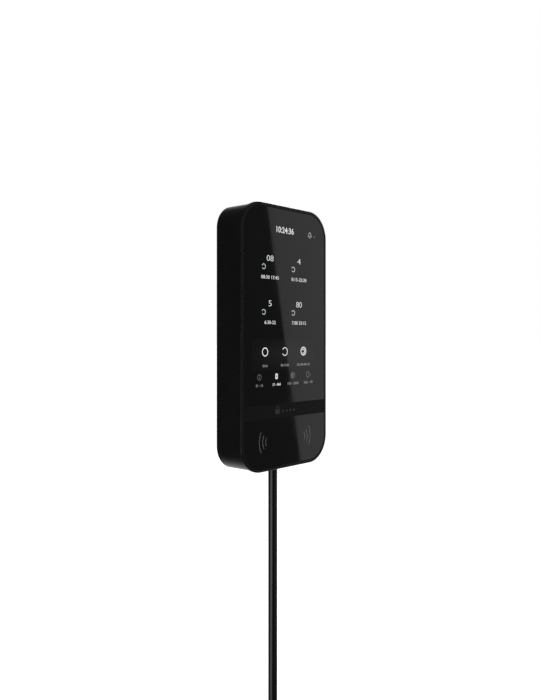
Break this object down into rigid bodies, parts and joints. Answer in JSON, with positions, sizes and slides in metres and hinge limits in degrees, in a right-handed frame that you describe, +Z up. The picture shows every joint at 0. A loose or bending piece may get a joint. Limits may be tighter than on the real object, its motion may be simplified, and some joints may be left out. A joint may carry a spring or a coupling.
{
  "type": "alarm keypad panel",
  "caption": "Slim upright wall-mounted touch-screen alarm keypad with a glass front, slide-on wall bracket, tamper plunger and a hanging bus cable with a plug.",
  "frame": {"origin": "centre of the bracket's four wall-screw holes, on the wall plane", "axes": "+X right as one faces the screen, +Y into the wall, +Z up; the screen faces -Y"},
  "size_m": [0.0762, 0.0202, 0.3959],
  "materials": {
    "case_plastic": "fine-textured black moulding",
    "bracket_plastic": "satin black moulding",
    "screen_glass": "clear polished cover glass",
    "painted_glass": "polished glass, black printed behind",
    "band_plastic": "brushed matte strip",
    "tape": "black foam tape",
    "touch_film": "clear film with a fine grid",
    "screen": "lit display face",
    "backlight_tray": "stamped tray",
    "flex_circuit": "amber polyimide",
    "carrier_metal": "die-cast, bead blasted",
    "screw_steel": "zinc plated",
    "circuit_board": "green solder mask",
    "chip_black": "moulded epoxy",
    "tinned_steel": "tin plated",
    "socket_plastic": "ivory moulding",
    "copper": "etched copper",
    "ferrite": "dark sheet",
    "brass_parts": "plain turned",
    "terminal_plastic": "green moulding",
    "soft_rubber": "black moulded rubber",
    "nylon": "natural nylon",
    "cable_jacket": "black PVC jacket",
    "wire_insulation": "coloured PVC",
    "tie_nylon": "black nylon",
    "spring_steel": "spring wire",
    "label": "blank satin label"
  },
  "bodies": {
    "bracket": {"wall_bracket": "bracket_plastic"},
    "keypad": {"front_frame": "case_plastic", "rear_housing": "case_plastic", "display_glass": "screen_glass", "reader_glass": "painted_glass", "centre_band": "band_plastic", "glass_tape": "tape", "display_tape": "tape", "touch_sensor": "touch_film", "display_panel": "screen", "backlight": "backlight_tray", "display_ribbon": "flex_circuit", "touch_ribbon": "flex_circuit", "display_carrier": "carrier_metal", "carrier_screws": "screw_steel", "board_screws": "screw_steel", "clamp_screws": "screw_steel", "housing_screws": "screw_steel", "terminal_screws": "screw_steel", "plug_screws": "screw_steel", "main_board": "circuit_board", "antenna_board": "circuit_board", "board_chips": "chip_black", "tamper_switch": "chip_black", "buzzer": "chip_black", "shield_can": "tinned_steel", "ribbon_sockets": "socket_plastic", "antenna_coil": "copper", "ferrite_sheet": "ferrite", "antenna_pins": "brass_parts", "screw_inserts": "brass_parts", "terminal_block": "terminal_plastic", "plug_body": "terminal_plastic", "cable_grommet": "soft_rubber", "plug_sleeve": "soft_rubber", "clamp_cradle": "nylon", "cable_clamp": "nylon", "cable_sheath": "cable_jacket", "cable_lead": "cable_jacket", "cable_coil": "cable_jacket", "cable_tail": "cable_jacket", "wire_cores": "wire_insulation", "cable_tie": "tie_nylon", "tamper_spring": "spring_steel", "id_label": "label"},
    "lock_screw": {"lock_screw": "screw_steel"},
    "tamper_plunger": {"tamper_plunger": "nylon"}
  },
  "joints": [
    {"name": "keypad_slide", "type": "slide", "parent": "bracket", "child": "keypad", "axis": [0, 0, 1], "range_m": [0, 0.006]},
    {"name": "lock_screw_release", "type": "slide", "parent": "bracket", "child": "lock_screw", "axis": [0, 0, -1], "range_m": [0, 0.008]},
    {"name": "tamper_press", "type": "slide", "parent": "keypad", "child": "tamper_plunger", "axis": [0, -1, 0], "range_m": [0, 0.001], "stiffness_N_per_m": 150, "springref_m": -0.0005, "deforming": ["tamper_spring"]}
  ]
}
